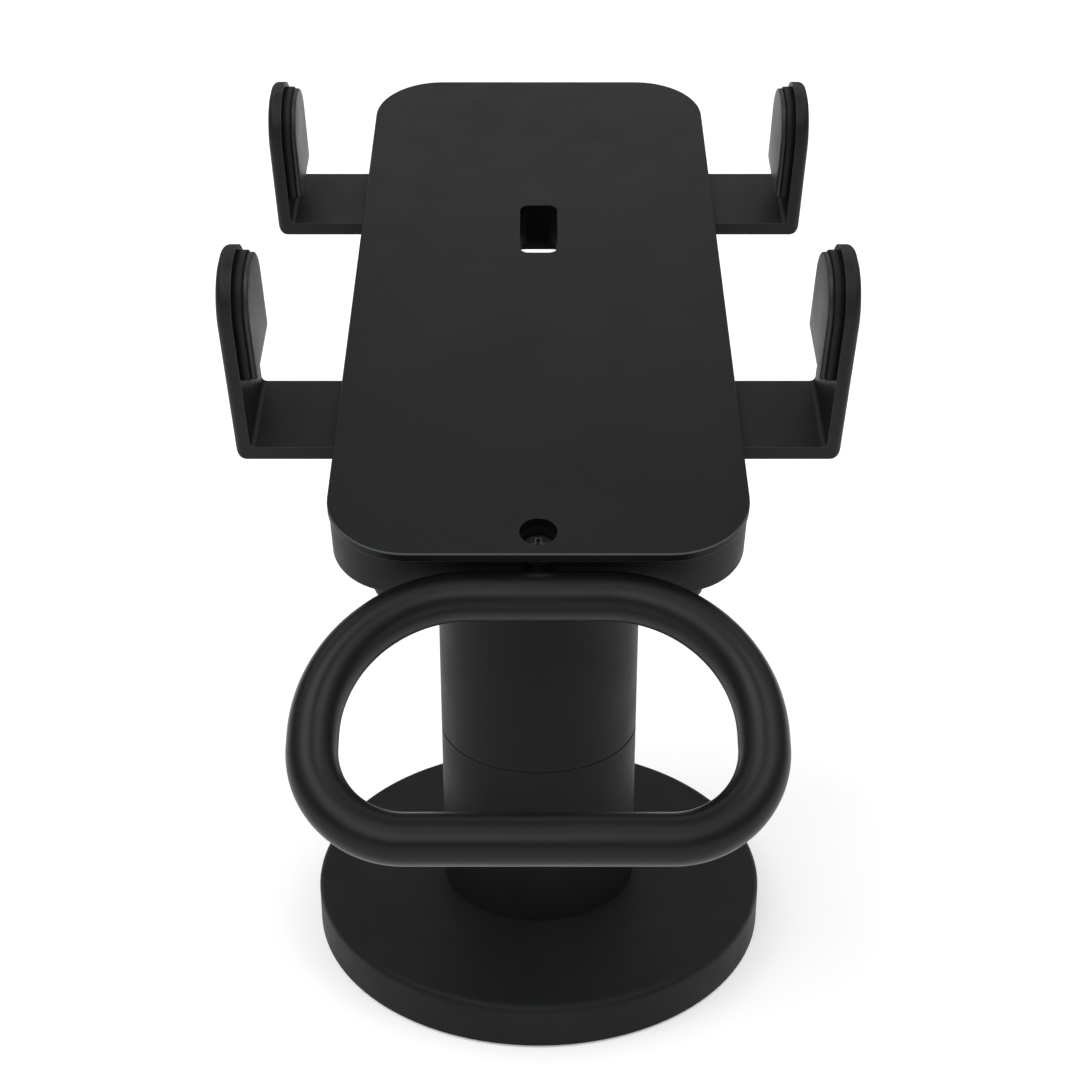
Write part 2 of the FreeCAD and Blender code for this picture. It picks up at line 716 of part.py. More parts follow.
def round_tipped(low, high, tip_r):
    """An upright slab whose two top corners, seen along u, have one radius."""
    slab = block(low, high)
    tips = [e for e in edges_at_level(slab, high[2])
            if abs(e.Vertexes[0].Y - e.Vertexes[1].Y) < LEVEL_TOLERANCE]
    return slab.makeFillet(tip_r, tips)


def left_arm(v, top):
    """An L-shaped arm: a flat foot that runs under the plate and a round-topped upright."""
    low_v, high_v = v - ARM_W / 2, v + ARM_W / 2
    foot_low = ARM_FLOOR_TOP - ARM_T
    upright = round_tipped((-ARM_OUT, low_v, foot_low), (-ARM_OUT + ARM_T, high_v, top), ARM_TIP_R)
    outer_rim = [e for e in edges_across(upright, -ARM_OUT)
                 if max(p.Z for p in e.Vertexes) > ARM_FLOOR_TOP]
    upright = upright.makeFillet(ARM_EDGE_R, outer_rim)
    foot = block((-ARM_OUT + ARM_EDGE_R, low_v, foot_low), (-ARM_IN, high_v, ARM_FLOOR_TOP))
    arm = fused([foot, upright])
    arm = arm.makeFillet(ARM_INNER_R, edges_along_v(arm, -ARM_OUT + ARM_T, ARM_FLOOR_TOP))
    return arm.common(heel_envelope(low_v, high_v, foot_low, top)).cut(slide_screw_hole(v))


def heel_envelope(low_v, high_v, foot_low, top):
    """A block round a whole arm with the arm's rounded heel along its outer bottom edge."""
    envelope = block((-ARM_OUT, low_v - 1, foot_low), (0, high_v + 1, top + 1))
    return envelope.makeFillet(ARM_HEEL_R, edges_along_v(envelope, -ARM_OUT, foot_low))


def edges_across(shape, u):
    """The edges that lie wholly at one distance u."""
    return [e for e in shape.Edges
            if all(abs(p.X - u) < LEVEL_TOLERANCE for p in e.Vertexes)]


def edges_along_v(shape, u, h):
    return [e for e in edges_at_level(shape, h)
            if all(abs(p.X - u) < LEVEL_TOLERANCE for p in e.Vertexes)]


def slide_screw_hole(v):
    return countersink(-SLIDE_SCREW_U, v, ARM_FLOOR_TOP)


def pad_slab(v, arm_top, near, far, inset):
    """A pad layer between two distances from the centre line, with a rounded top."""
    half = ARM_W / 2 - inset
    high = arm_top - inset
    low = arm_top - PAD_BACKING_INSET - PAD_LENGTH
    return round_tipped((-far, v - half, low), (-near, v + half, high), ARM_TIP_R - inset)


PAD_BACK_U = ARM_OUT - ARM_T
PAD_SPLIT_U = PAD_BACK_U - PAD_BACKING_T
PAD_FRONT_U = PAD_SPLIT_U - PAD_FACE_T


def left_pad_backing(v, arm_top):
    return pad_slab(v, arm_top, PAD_SPLIT_U, PAD_BACK_U, PAD_BACKING_INSET)


def left_pad(v, arm_top):
    face = pad_slab(v, arm_top, PAD_FRONT_U, PAD_SPLIT_U, PAD_FACE_INSET)
    return face.makeFillet(PAD_EDGE_R, edges_across(face, -PAD_FRONT_U))


def rack(pitch_v, body_v):
    """A straight toothed bar towards +v of its body, with a tooth gap at u = 0."""
    pitch = math.pi * MODULE
    tip_v = pitch_v + RACK_ADDENDUM
    root_v = pitch_v - RACK_DEDENDUM
    slope = math.tan(PRESSURE_ANGLE)
    half_at_pitch = (pitch - BACKLASH) / 4
    count = int((SLIDE_IN + RACK_END) / pitch)
    body = block((-SLIDE_IN - 1, body_v, SLIDE_BOTTOM), (RACK_END, root_v, SLIDE_TOP))
    teeth = []
    for i in range(count):
        centre = (i + 0.5) * pitch - pitch * (count - 2)
        if not -SLIDE_IN + 2 < centre < RACK_END - 1:
            continue
        tip_half = half_at_pitch - RACK_ADDENDUM * slope
        root_half = half_at_pitch + (pitch_v - root_v + 0.2) * slope
        teeth.append(polygon_prism([(centre - root_half, root_v - 0.2),
                                    (centre + root_half, root_v - 0.2),
                                    (centre + tip_half, tip_v),
                                    (centre - tip_half, tip_v)], SLIDE_BOTTOM, SLIDE_TOP))
    return fused([body] + teeth)


def slide(side, toothed):
    """A bar along v under both arms of one side, with its rack and the arms' threads."""
    inner, outer = sorted((side * SLIDE_IN, side * SLIDE_OUT))
    bar = rounded_prism((inner, FRONT_ARM_V - ARM_W / 2, SLIDE_BOTTOM),
                        (outer, REAR_ARM_V + ARM_W / 2, SLIDE_TOP), 1.5)
    threads = [disc(SCREW_R, -12, 0, side * SLIDE_SCREW_U, v)
               for v in (FRONT_ARM_V, REAR_ARM_V)]
    return cut_all(fused([bar, toothed]), threads)


def left_rack():
    pitch_v = PINION_V - PITCH_R
    return rack(pitch_v, pitch_v - RACK_DEDENDUM - RACK_BACK)


def left_slide():
    return slide(-1, left_rack())


def right_slide():
    """The left slide's bar mirrored, with its rack on the pinion's other side."""
    return slide(1, turned_half(left_rack(), 0, PINION_V))


def left_slide_screws():
    return grouped([countersunk(-SLIDE_SCREW_U, v, SLIDE_BOTTOM, ARM_FLOOR_TOP)
                    for v in (FRONT_ARM_V, REAR_ARM_V)])


def involute(radius, base_r):
    """Polar angle of an involute of the base circle at a radius."""
    roll = math.sqrt(max(radius * radius / (base_r * base_r) - 1.0, 0.0))
    return roll - math.atan(roll)


def pinion():
    """A twelve-tooth involute spur gear with one tooth pointing along -v."""
    base_r = PITCH_R * math.cos(PRESSURE_ANGLE)
    tip_r = PITCH_R + 0.9 * MODULE
    root_r = PITCH_R - RACK_ADDENDUM - 0.35 * MODULE
    half_tooth = (math.pi - BACKLASH / MODULE) / (2 * TEETH) + involute(PITCH_R, base_r)
    steps = 5
    flank = [base_r + (tip_r - base_r) * i / steps for i in range(steps + 1)]
    points = []
    for tooth in range(TEETH):
        axis = -math.pi / 2 + tooth * 2 * math.pi / TEETH
        rising = [(root_r, -half_tooth)] + [(r, involute(r, base_r) - half_tooth) for r in flank]
        falling = [(r, -angle) for r, angle in reversed(rising)]
        for radius, angle in rising + falling:
            points.append((radius * math.cos(axis + angle),
                           PINION_V + radius * math.sin(axis + angle)))
    gear = polygon_prism(points, SLIDE_BOTTOM, SLIDE_TOP + 0.3)
    return gear.cut(disc(PINION_POST_R + RUNNING_GAP, -20, 0, 0, PINION_V))


# ---- the list of nodes ----
def head_nodes():
    nodes = {
        "tilt_lug": tilt_lug(),
        "lug_screws": lug_screws(),
        "housing": housing(),
        "bottom_cover": bottom_cover(),
        "cover_screws": cover_screws(),
        "top_plate": top_plate(),
        "plate_standoffs": plate_standoffs(),
        "plate_screws": plate_screws(),
        "cable_bush": cable_bush(),
        "front_glide": glide_strip(FRONT_ARM_V),
        "rear_glide": glide_strip(REAR_ARM_V + REAR_GLIDE_SHIFT),
        "pinion_screw": pinion_screw(),
        "ring_handle": ring_handle(),
        "handle_stud": handle_stud(),
        "handle_screw": handle_screw(),
        "pinion": pinion(),
        "left_slide": left_slide(),
        "right_slide": right_slide(),
        "left_slide_screws": left_slide_screws(),
        "right_slide_screws": mirrored_u(left_slide_screws()),
    }
    for place, (v, top) in ARMS.items():
        parts = {"arm": left_arm(v, top), "pad_backing": left_pad_backing(v, top),
                 "pad": left_pad(v, top)}
        for name, shape in parts.items():
            nodes["left_%s_%s" % (place, name)] = shape
            nodes["right_%s_%s" % (place, name)] = mirrored_u(shape)
    return nodes


def world_nodes():
    return {
        "base_cover": base_cover(),
        "base_weight": base_weight(),
        "foot_pad": foot_pad(),
        "column_screws": column_screws(),
        "lower_column": lower_column(),
        "swivel_washer": swivel_washer(),
        "upper_column": upper_column(),
        "spindle": spindle(),
        "friction_washer": friction_washer(),
        "disc_spring": disc_spring(),
        "spindle_nut": spindle_nut(),
        "stop_pin": stop_pin(),
        "tilt_yoke": tilt_yoke(),
        "yoke_screws": yoke_screws(),
        "tilt_bolt": tilt_bolt(),
        "tilt_nut": tilt_nut(),
        "tilt_washers": tilt_washers(),
    }


def main():
    os.makedirs("parts", exist_ok=True)
    nodes = world_nodes()
    for name, shape in head_nodes().items():
        nodes[name] = in_head(shape)
    for name, shape in sorted(nodes.items()):
        if not shape.isValid():
            raise ValueError("invalid shape: " + name)
        shape.exportStep("parts/%s.step" % name)
        box = shape.BoundBox
        print("%-22s solids %d  volume %9.1f  z %7.2f to %7.2f"
              % (name, len(shape.Solids), shape.Volume, box.ZMin, box.ZMax))


main()
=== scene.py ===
import json
import math

import bpy
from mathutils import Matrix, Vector


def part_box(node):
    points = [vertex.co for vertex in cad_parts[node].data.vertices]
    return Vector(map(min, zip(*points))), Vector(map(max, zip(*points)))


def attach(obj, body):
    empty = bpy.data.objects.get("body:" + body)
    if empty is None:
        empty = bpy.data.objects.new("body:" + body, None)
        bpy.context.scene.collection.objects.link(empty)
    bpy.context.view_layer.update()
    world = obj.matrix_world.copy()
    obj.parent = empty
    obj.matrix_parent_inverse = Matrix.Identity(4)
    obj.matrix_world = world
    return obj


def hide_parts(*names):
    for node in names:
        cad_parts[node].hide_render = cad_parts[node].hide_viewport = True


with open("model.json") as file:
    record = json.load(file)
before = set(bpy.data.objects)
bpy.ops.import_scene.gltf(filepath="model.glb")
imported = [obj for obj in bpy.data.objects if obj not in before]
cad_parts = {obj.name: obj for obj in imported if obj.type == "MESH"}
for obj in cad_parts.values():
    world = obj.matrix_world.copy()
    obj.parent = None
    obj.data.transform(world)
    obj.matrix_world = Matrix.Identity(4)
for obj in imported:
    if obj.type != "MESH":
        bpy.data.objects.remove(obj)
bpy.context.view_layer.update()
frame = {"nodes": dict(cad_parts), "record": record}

# Looks for the card terminal stand: materials, the ring handle, the pads and the studio.
# Lengths are metres in the row frame.  The head frame has u across the holder plate, v along
# it away from the user, and h out of its top face.

NODES = frame["nodes"]
MM = 0.001


# ---- the head frame, from the record's terminal face mount ----
def terminal_face():
    for mount in frame["record"]["mounts"]:
        if mount["name"] == "terminal_face":
            return Vector(mount["pos_m"]), Vector(mount["axis"]).normalized()
    raise ValueError("the record has no terminal face")


FACE_POINT, H_AXIS = terminal_face()
U_AXIS = Vector((1.0, 0.0, 0.0))
V_AXIS = H_AXIS.cross(U_AXIS)


def head_point(u, v, h):
    """A point in the world frame from head coordinates measured from the face mount."""
    return FACE_POINT + U_AXIS * u + V_AXIS * v + H_AXIS * h


def head_coords(point):
    offset = Vector(point) - FACE_POINT
    return offset.dot(U_AXIS), offset.dot(V_AXIS), offset.dot(H_AXIS)


def head_box(node):
    """Lowest and highest head coordinates of a CAD node."""
    points = [head_coords(v.co) for v in NODES[node].data.vertices]
    low = [min(p[i] for p in points) for i in range(3)]
    high = [max(p[i] for p in points) for i in range(3)]
    return low, high


# ---- material helpers ----
class Material:
    """A Principled material with a short way to add and join nodes."""

    def __init__(self, name, roughness=0.5, metallic=0.0, specular=0.5):
        self.mat = bpy.data.materials.new(name)
        self.mat.use_nodes = True
        self.tree = self.mat.node_tree
        self.shader = self.tree.nodes["Principled BSDF"]
        self.shader.inputs["Roughness"].default_value = roughness
        self.shader.inputs["Metallic"].default_value = metallic
        self.shader.inputs["Specular IOR Level"].default_value = specular
        self.coords = self.node("ShaderNodeTexCoord").outputs["Object"]

    def node(self, kind, **values):
        made = self.tree.nodes.new(kind)
        for key, value in values.items():
            setattr(made, key, value)
        return made

    def join(self, source, target):
        self.tree.links.new(source, target)

    def noise(self, scale, detail=3.0, roughness=0.55, stretch=None):
        """Noise over object coordinates; scale is features per metre."""
        made = self.node("ShaderNodeTexNoise")
        made.inputs["Scale"].default_value = scale
        made.inputs["Detail"].default_value = detail
        made.inputs["Roughness"].default_value = roughness
        source = self.coords
        if stretch:
            mapping = self.node("ShaderNodeMapping")
            mapping.inputs["Scale"].default_value = stretch
            self.join(self.coords, mapping.inputs["Vector"])
            source = mapping.outputs["Vector"]
        self.join(source, made.inputs["Vector"])
        return made.outputs["Fac"]

    def cells(self, scale, feature="F1"):
        made = self.node("ShaderNodeTexVoronoi", feature=feature)
        made.inputs["Scale"].default_value = scale
        self.join(self.coords, made.inputs["Vector"])
        return made.outputs["Distance"]

    def ramp(self, source, low, high, start, end):
        """Maps source from low..high onto start..end, clamped."""
        made = self.node("ShaderNodeMapRange")
        made.inputs["From Min"].default_value = low
        made.inputs["From Max"].default_value = high
        made.inputs["To Min"].default_value = start
        made.inputs["To Max"].default_value = end
        self.join(source, made.inputs["Value"])
        return made.outputs["Result"]

    def mix_colour(self, factor, first, second):
        made = self.node("ShaderNodeMix", data_type="RGBA")
        self.join(factor, made.inputs["Factor"])
        for socket, value in ((made.inputs[6], first), (made.inputs[7], second)):
            if isinstance(value, tuple):
                socket.default_value = (*value, 1.0)
            else:
                self.join(value, socket)
        return made.outputs[2]

    def maths(self, operation, first, second):
        made = self.node("ShaderNodeMath", operation=operation)
        for socket, value in zip(made.inputs, (first, second)):
            if isinstance(value, (int, float)):
                socket.default_value = value
            else:
                self.join(value, socket)
        return made.outputs["Value"]

    def edges(self, radius):
        """1 on sharp edges and 0 on flat faces, from how far a rounded normal turns away."""
        bevel = self.node("ShaderNodeBevel", samples=4)
        bevel.inputs["Radius"].default_value = radius
        geometry = self.node("ShaderNodeNewGeometry")
        dot = self.node("ShaderNodeVectorMath", operation="DOT_PRODUCT")
        self.join(bevel.outputs["Normal"], dot.inputs[0])
        self.join(geometry.outputs["Normal"], dot.inputs[1])
        return self.ramp(dot.outputs["Value"], 0.995, 0.85, 0.0, 1.0)

    def slope(self, axis):
        """1 on a face whose normal lies along the axis, falling to 0 on a face square to it."""
        normal = self.node("ShaderNodeTexCoord").outputs["Normal"]
        dot = self.node("ShaderNodeVectorMath", operation="DOT_PRODUCT")
        dot.inputs[1].default_value = axis
        self.join(normal, dot.inputs[0])
        return self.maths("ABSOLUTE", dot.outputs["Value"], 0.0)

    def bump(self, height, distance, strength=1.0, after=None):
        made = self.node("ShaderNodeBump")
        made.inputs["Strength"].default_value = strength
        made.inputs["Distance"].default_value = distance
        self.join(height, made.inputs["Height"])
        if after:
            self.join(after, made.inputs["Normal"])
        return made.outputs["Normal"]

    def finish(self, colour=None, roughness=None, normal=None):
        for name, value in (("Base Color", colour), ("Roughness", roughness), ("Normal", normal)):
            if value is not None:
                self.join(value, self.shader.inputs[name])
        return self.mat


def scaled(colour, factor):
    return tuple(channel * factor for channel in colour)


# features per metre in the fine textures
SPECK = 2600.0
ORANGE_PEEL = 700.0
COAT_GRAIN = 3400.0
MOULD_CELLS = 2400.0
MOULD_GRAIN = 4200.0
RUBBER_CELLS = 3000.0
COAT_SPECULAR = 0.11


# ---- materials ----
def coated_metal(name, colour, roughness, grain, peel, edge_light=0.35):
    """Powder coat: fine grain over soft orange peel, with a painted highlight along its edges."""
    m = Material(name, specular=COAT_SPECULAR)
    cloud = m.noise(35.0, 4.0)
    speck = m.noise(SPECK, 2.0)
    tone = m.mix_colour(m.ramp(cloud, 0.3, 0.7, 0.0, 1.0), scaled(colour, 0.86), scaled(colour, 1.14))
    tone = m.mix_colour(m.ramp(speck, 0.62, 0.8, 0.0, 0.35), tone, scaled(colour, 2.2))
    # painted highlight: edges are lightened towards five times the coat colour, standing for light caught
    # on rounded rims
    painted_edge_highlight = m.maths("MULTIPLY", m.edges(0.35 * MM), edge_light)
    tone = m.mix_colour(painted_edge_highlight, tone, scaled(colour, 5.0))
    rough = m.ramp(m.noise(120.0, 3.0), 0.3, 0.7, roughness - 0.04, roughness + 0.05)
    normal = m.bump(m.noise(ORANGE_PEEL, 1.0), peel)
    normal = m.bump(m.noise(COAT_GRAIN, 2.0), grain, after=normal)
    return m.finish(tone, rough, normal)


def plate_coat(name, colour, roughness):
    """The holder plate's powder coat, with a painted highlight on its near and far rims and painted shade
    on its cut edge.
    """
    m = Material(name, specular=COAT_SPECULAR)
    speck = m.noise(SPECK, 2.0)
    cloud = m.noise(35.0, 4.0)
    tone = m.mix_colour(m.ramp(cloud, 0.3, 0.7, 0.0, 1.0), scaled(colour, 0.86), scaled(colour, 1.14))
    tone = m.mix_colour(m.ramp(speck, 0.62, 0.8, 0.0, 0.5), tone, scaled(colour, 2.4))
    slope = m.slope(H_AXIS)
    # painted shade: faces square to the plate's top are darkened to about a third of the coat colour
    tone = m.mix_colour(m.ramp(slope, 0.25, 0.1, 0.0, 1.0), tone, scaled(colour, 0.35))
    # painted highlight: the rounded rims between top and cut edge are lightened to six and a half times
    # the coat colour, most on the near and far rims
    rim = m.maths("MULTIPLY", m.ramp(slope, 0.2, 0.5, 0.0, 1.0), m.ramp(slope, 0.99, 0.9, 0.0, 1.0))
    across = m.ramp(m.slope(V_AXIS), 0.1, 0.35, 0.15, 1.0)
    tone = m.mix_colour(m.maths("MULTIPLY", rim, across), tone, scaled(colour, 6.5))
    rough = m.ramp(m.noise(120.0, 3.0), 0.3, 0.7, roughness - 0.04, roughness + 0.05)
    normal = m.bump(m.noise(ORANGE_PEEL, 1.0), 0.008 * MM)
    normal = m.bump(m.noise(COAT_GRAIN, 2.0), 0.010 * MM, after=normal)
    return m.finish(tone, rough, normal)


def moulded_plastic(name, colour, roughness, grain, edge_light=0.25):
    """Injection-moulded plastic with a spark-eroded texture."""
    m = Material(name, specular=0.14)
    cloud = m.noise(28.0, 3.0)
    tone = m.mix_colour(m.ramp(cloud, 0.3, 0.7, 0.0, 1.0), scaled(colour, 0.9), scaled(colour, 1.1))
    # painted highlight: edges are lightened towards four times the plastic colour, standing for light
    # caught on rounded edges
    painted_edge_highlight = m.maths("MULTIPLY", m.edges(0.3 * MM), edge_light)
    tone = m.mix_colour(painted_edge_highlight, tone, scaled(colour, 4.0))
    rough = m.ramp(m.noise(160.0, 3.0), 0.3, 0.7, roughness - 0.03, roughness + 0.05)
    pits = m.maths("ADD", m.cells(MOULD_CELLS), m.noise(MOULD_GRAIN, 2.0))
    return m.finish(tone, rough, m.bump(pits, grain))


def soft_rubber(name, colour, roughness, side_shade=1.0):
    """Dark rubber with a pale bloom and fine closed cells; side_shade paints shade on all but its u faces.
    """
    m = Material(name, roughness=roughness, specular=0.3)
    bloom = m.noise(90.0, 4.0)
    cells = m.cells(RUBBER_CELLS)
    tone = m.mix_colour(m.ramp(bloom, 0.3, 0.7, 0.0, 1.0), scaled(colour, 0.88), scaled(colour, 1.16))
    tone = m.mix_colour(m.ramp(cells, 0.15, 0.0, 0.0, 0.5), tone, scaled(colour, 0.6))
    # painted shade: every face but the u faces (the pad's face and back) is darkened to side_shade times
    # the colour, so only the face keeps the pale tone
    if side_shade < 1.0:
        beside = m.ramp(m.slope(U_AXIS), 0.95, 0.7, 0.0, 1.0)
        tone = m.mix_colour(beside, tone, scaled(colour, side_shade))
    rough = m.ramp(bloom, 0.3, 0.7, roughness - 0.05, roughness + 0.05)
    return m.finish(tone, rough, m.bump(cells, 0.03 * MM))


def soft_touch(name, colour, roughness):
    """The ring's satin coat: very smooth, with faint handling smears."""
    m = Material(name, specular=0.2)
    smear = m.noise(45.0, 5.0, 0.6, stretch=(1.0, 2.2, 1.6))
    tone = m.mix_colour(m.ramp(smear, 0.35, 0.65, 0.0, 1.0), scaled(colour, 0.92), scaled(colour, 1.1))
    rough = m.ramp(smear, 0.35, 0.7, roughness - 0.04, roughness + 0.06)
    return m.finish(tone, rough, m.bump(m.noise(2200.0, 2.0), 0.004 * MM))


def plated_steel(name, colour, roughness, brushed=(1.0, 1.0, 14.0)):
    """Bright metal with fine lines; brushed stretches them along an axis."""
    m = Material(name, metallic=1.0)
    lines = m.noise(900.0, 4.0, 0.7, stretch=brushed)
    cloud = m.noise(70.0, 3.0)
    tone = m.mix_colour(m.ramp(cloud, 0.3, 0.7, 0.0, 1.0), scaled(colour, 0.85), scaled(colour, 1.08))
    rough = m.ramp(lines, 0.3, 0.7, roughness - 0.08, roughness + 0.1)
    return m.finish(tone, rough, m.bump(lines, 0.006 * MM))


def black_oxide(name, colour):
    """Blackened steel, with a painted highlight along its edges."""
    m = Material(name, specular=0.25)
    grain = m.noise(1400.0, 4.0, 0.6)
    tone = m.mix_colour(m.ramp(grain, 0.3, 0.7, 0.0, 1.0), scaled(colour, 0.75), scaled(colour, 1.2))
    # painted highlight: edges are lightened towards fourteen times the oxide colour, standing for light
    # caught on the head and recess edges
    tone = m.mix_colour(m.edges(0.25 * MM), tone, scaled(colour, 14.0))
    rough = m.ramp(grain, 0.3, 0.7, 0.38, 0.5)
    return m.finish(tone, rough, m.bump(grain, 0.006 * MM))


def cast_iron(name, colour):
    """Rough grey iron from a sand mould."""
    m = Material(name, metallic=0.85)
    grain = m.noise(800.0, 5.0, 0.7)
    tone = m.mix_colour(m.ramp(grain, 0.3, 0.75, 0.0, 1.0), scaled(colour, 0.7), scaled(colour, 1.3))
    rough = m.ramp(grain, 0.3, 0.7, 0.55, 0.75)
    return m.finish(tone, rough, m.bump(grain, 0.08 * MM))


def turned_acetal(name, colour):
    """Pale engineering plastic with faint lathe lines."""
    m = Material(name, specular=0.5)
    lathe = m.noise(1500.0, 2.0, stretch=(1.0, 1.0, 6.0))
    cloud = m.noise(60.0, 3.0)
    tone = m.mix_colour(m.ramp(cloud, 0.3, 0.7, 0.0, 1.0), scaled(colour, 0.94), scaled(colour, 1.04))
    rough = m.ramp(lathe, 0.3, 0.7, 0.36, 0.48)
    return m.finish(tone, rough, m.bump(lathe, 0.004 * MM))


BLACK = (0.0084, 0.0092, 0.0090)

FINISHES = {
    "base_coat": coated_metal("base_powder_coat", BLACK, 0.50, 0.010 * MM, 0.012 * MM),
    "column_coat": coated_metal("column_powder_coat", BLACK, 0.48, 0.010 * MM, 0.012 * MM),
    "plate_coat": plate_coat("plate_powder_coat", scaled(BLACK, 1.1), 0.42),
    "housing_plastic": moulded_plastic("housing_plastic", BLACK, 0.50, 0.012 * MM),
    # edge_light=0.9 gives the arms a strong painted highlight along their edges
    "arm_plastic": moulded_plastic("arm_plastic", scaled(BLACK, 1.05), 0.44, 0.008 * MM, edge_light=0.9),
    "pad_backing_plastic": moulded_plastic("pad_backing", scaled(BLACK, 0.9), 0.55, 0.010 * MM),
    # the pale grey-green is partly the rubber's own tone and partly a painted reflection of the pale
    # surroundings on the pad's face; side_shade=0.22 paints the sides dark
    "pad_rubber": soft_rubber("pad_rubber", (0.047, 0.054, 0.048), 0.40, side_shade=0.22),
    "handle_coat": soft_touch("handle_soft_coat", scaled(BLACK, 0.5), 0.34),
    "black_screw": black_oxide("black_oxide", (0.012, 0.012, 0.0125)),
    "zinc_steel": plated_steel("zinc_plate", (0.56, 0.56, 0.55), 0.32),
    "slide_steel": plated_steel("slide_steel", (0.46, 0.46, 0.46), 0.34, (14.0, 1.0, 1.0)),
    "yoke_metal": coated_metal("yoke_coat", scaled(BLACK, 1.2), 0.5, 0.012 * MM, 0.02 * MM),
    "weight_iron": cast_iron("weight_iron", (0.11, 0.108, 0.105)),
    "foot_rubber": soft_rubber("foot_rubber", (0.018, 0.018, 0.018), 0.8),
    "bush_plastic": moulded_plastic("bush_plastic", scaled(BLACK, 0.35), 0.6, 0.008 * MM),
    "bearing_plastic": moulded_plastic("black_acetal", scaled(BLACK, 0.8), 0.5, 0.006 * MM),
    "acetal": turned_acetal("white_acetal", (0.62, 0.61, 0.57)),
    "bronze": plated_steel("bronze", (0.50, 0.32, 0.15), 0.36),
}


def dress_cad_nodes():
    slots = {row["node"]: row["material_slot"] for row in frame["record"]["subparts"]}
    for name, node in NODES.items():
        node.data.materials.clear()
        node.data.materials.append(FINISHES[slots[name]])


# ---- mesh helpers ----
def new_piece(name, points, faces, slot, body, node):
    """A smooth mesh piece that rides on body and stands for a CAD node."""
    mesh = bpy.data.meshes.new(name)
    mesh.from_pydata([tuple(p) for p in points], [], faces)
    mesh.validate()
    mesh.shade_smooth()
    piece = bpy.data.objects.new(name, mesh)
    bpy.context.scene.collection.objects.link(piece)
    mesh.materials.append(FINISHES[slot])
    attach(piece, body)
    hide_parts(node)
    return piece


def loop_faces(rings, count, close_rings=False):
    """Quads between neighbouring rings of count points each."""
    faces = []
    spans = rings if close_rings else rings - 1
    for ring in range(spans):
        here, there = ring * count, (ring + 1) % rings * count
        for i in range(count):
            j = (i + 1) % count
            faces.append((here + i, here + j, there + j, there + i))
    return faces


# ---- ring handle ----
TUBE_R = 4.08 * MM
RING_TOP_R = 24.15 * MM
RING_BOTTOM_R = 14.83 * MM
ARC_STEPS = 40
STRAIGHT_STEPS = 10
TUBE_SIDES = 48


def ring_path(half_w, half_h):
    """Centre line points and outward normals in the ring's own plane, once round."""
    corners = ((1, 1, RING_TOP_R, 0), (-1, 1, RING_TOP_R, 90),
               (-1, -1, RING_BOTTOM_R, 180), (1, -1, RING_BOTTOM_R, 270))
    path = []
    for side_x, side_s, radius, start in corners:
        centre = (side_x * (half_w - radius), side_s * (half_h - radius))
        arc = []
        for step in range(ARC_STEPS + 1):
            angle = math.radians(start + 90.0 * step / ARC_STEPS)
            normal = (math.cos(angle), math.sin(angle))
            arc.append(((centre[0] + radius * normal[0], centre[1] + radius * normal[1]), normal))
        if path:
            path += between(path[-1], arc[0])
        path += arc
    return path + between(path[-1], path[0])


def between(first, last):
    """Evenly spaced points on the straight run from first to last, ends left out."""
    run = []
    for step in range(1, STRAIGHT_STEPS):
        t = step / STRAIGHT_STEPS
        point = tuple(a + (b - a) * t for a, b in zip(first[0], last[0]))
        run.append((point, first[1]))
    return run


def ring_handle():
    low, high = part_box("ring_handle")
    centre = (low + high) / 2
    half_w = (high.x - low.x) / 2 - TUBE_R
    run_y = (high.y - low.y) / 2 - TUBE_R
    run_z = (high.z - low.z) / 2 - TUBE_R
    up = Vector((0.0, run_y, run_z)).normalized()
    across = U_AXIS.cross(up)
    path = ring_path(half_w, math.hypot(run_y, run_z))
    points = []
    for (x, s), (nx, ns) in path:
        spine = centre + U_AXIS * x + up * s
        outward = U_AXIS * nx + up * ns
        for side in range(TUBE_SIDES):
            angle = 2 * math.pi * side / TUBE_SIDES
            points.append(spine + (outward * math.cos(angle) + across * math.sin(angle)) * TUBE_R)
    faces = loop_faces(len(path), TUBE_SIDES, close_rings=True)
    return new_piece("ring_handle_tube", points, faces, "handle_coat", "head", "ring_handle")


# ---- clamp pads ----
TIP_FLAT = 0.825 * MM
PAD_ARC_STEPS = 28
PAD_FOOT_R = 0.8 * MM
PAD_CROWN = 0.08 * MM
SMALLEST_R = 0.02 * MM
EDGE_STEPS = 6
FACE_SHARES = (0.2, 0.4, 0.6, 0.8, 0.97)
FACE_REACH = 0.98
PAD_EDGE_R = 0.35 * MM
BACKING_EDGE_R = 0.2 * MM


def slab_outline(half_w, low, high, inset):
    """Points round a slab with a small-cornered foot and a round top, moved in by inset."""
    w, top, foot = half_w - inset, high - inset, low + inset
    tip = max(half_w - TIP_FLAT - inset, SMALLEST_R)
    toe = max(PAD_FOOT_R - inset, SMALLEST_R)
    points = []
    for side, rise, radius, start in ((1, 1, tip, 0), (-1, 1, tip, 90),
                                      (-1, -1, toe, 180), (1, -1, toe, 270)):
        centre_v = side * (w - radius)
        centre_h = (top if rise > 0 else foot) - rise * radius
        for step in range(PAD_ARC_STEPS + 1):
            angle = math.radians(start + 90.0 * step / PAD_ARC_STEPS)
            points.append((centre_v + radius * math.cos(angle), centre_h + radius * math.sin(angle)))
    return points


def slab_layers(edge, crown, half_w):
    """(inset, depth below the face): the back, the rounded edge, then the domed face."""
    layers = [(0.0, None)]
    for step in range(EDGE_STEPS + 1):
        angle = math.radians(90.0 * step / EDGE_STEPS)
        layers.append((edge * (1 - math.cos(angle)), crown + edge * (1 - math.sin(angle))))
    for share in FACE_SHARES:
        layers.append((edge + (half_w - edge) * share * FACE_REACH, crown * (1 - share) ** 2))
    return layers


